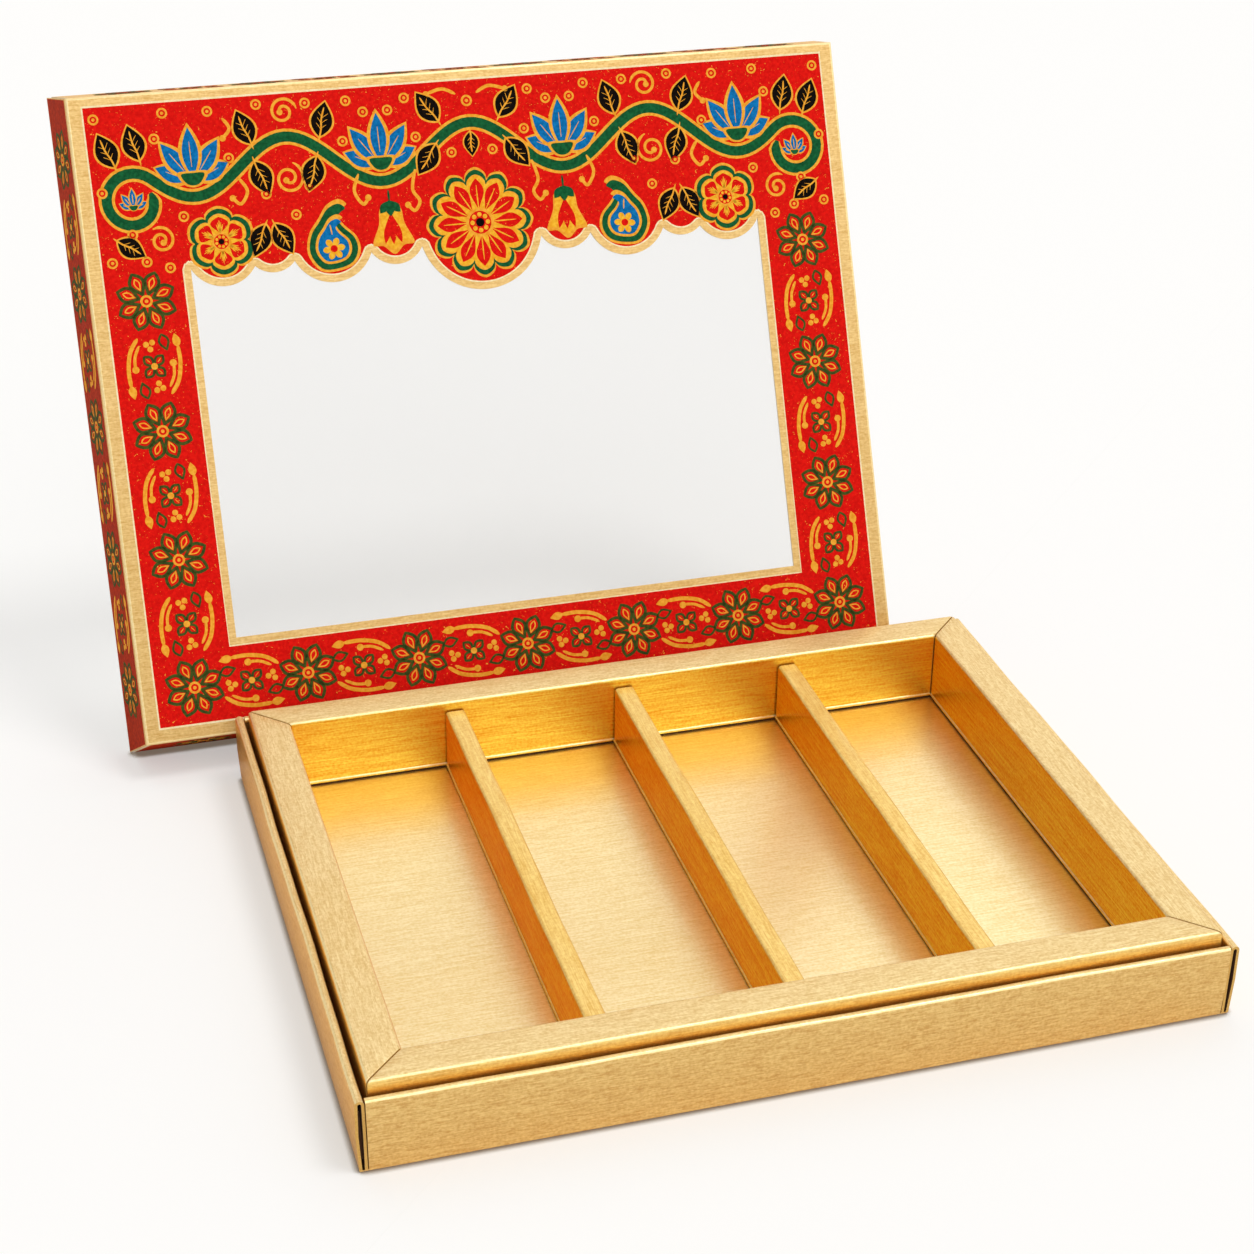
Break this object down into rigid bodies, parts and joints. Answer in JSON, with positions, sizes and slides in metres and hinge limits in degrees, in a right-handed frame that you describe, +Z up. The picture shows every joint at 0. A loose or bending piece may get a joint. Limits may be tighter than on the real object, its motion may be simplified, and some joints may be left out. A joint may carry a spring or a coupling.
{
  "type": "sweet box",
  "caption": "Flat gold-board sweet box with a lift-out insert parted by folded dividers and a separate printed lid with a clear film window, shown standing behind the tray.",
  "frame": {"origin": "centre of the base's underside, on the surface that the box stands on", "axes": "+X along the tray's long side, +Y from the tray to the standing lid, +Z up"},
  "size_m": [0.2882, 0.3207, 0.2049],
  "materials": {
    "base_gold_board": "gold metallised laminate with a fine brushed grain",
    "insert_gold_board": "gold metallised laminate with a fine brushed grain",
    "divider_gold_board": "gold metallised laminate with a fine brushed grain",
    "lid_printed_board": "printed red with gold borders and ornament, satin varnish",
    "window_film": "clear film"
  },
  "bodies": {
    "base": {"base_floor": "base_gold_board", "base_front_wall": "base_gold_board", "base_back_wall": "base_gold_board", "base_left_wall": "base_gold_board", "base_right_wall": "base_gold_board", "base_tab_front_left": "base_gold_board", "base_tab_front_right": "base_gold_board", "base_tab_back_left": "base_gold_board", "base_tab_back_right": "base_gold_board"},
    "insert": {"insert_pad": "insert_gold_board", "insert_front_rail": "insert_gold_board", "insert_back_rail": "insert_gold_board", "insert_left_rail": "insert_gold_board", "insert_right_rail": "insert_gold_board"},
    "divider_left": {"divider_left": "divider_gold_board"},
    "divider_middle": {"divider_middle": "divider_gold_board"},
    "divider_right": {"divider_right": "divider_gold_board"},
    "lid": {"lid_face": "lid_printed_board", "lid_lower_wall": "lid_printed_board", "lid_upper_wall": "lid_printed_board", "lid_left_wall": "lid_printed_board", "lid_right_wall": "lid_printed_board", "lid_tab_lower_left": "lid_printed_board", "lid_tab_lower_right": "lid_printed_board", "lid_tab_upper_left": "lid_printed_board", "lid_tab_upper_right": "lid_printed_board", "lid_film": "window_film"}
  },
  "joints": [
    {"name": "insert_lift", "type": "slide", "parent": "base", "child": "insert", "axis": [0, 0, 1], "range_m": [0, 0.04]},
    {"name": "divider_left_lift", "type": "slide", "parent": "insert", "child": "divider_left", "axis": [0, 0, 1], "range_m": [0, 0.03]},
    {"name": "divider_middle_lift", "type": "slide", "parent": "insert", "child": "divider_middle", "axis": [0, 0, 1], "range_m": [0, 0.03]},
    {"name": "divider_right_lift", "type": "slide", "parent": "insert", "child": "divider_right", "axis": [0, 0, 1], "range_m": [0, 0.03]},
    {"name": "lid_lift", "type": "slide", "parent": "base", "child": "lid", "axis": [0, 0, 1], "range_m": [0, 0.08]}
  ]
}
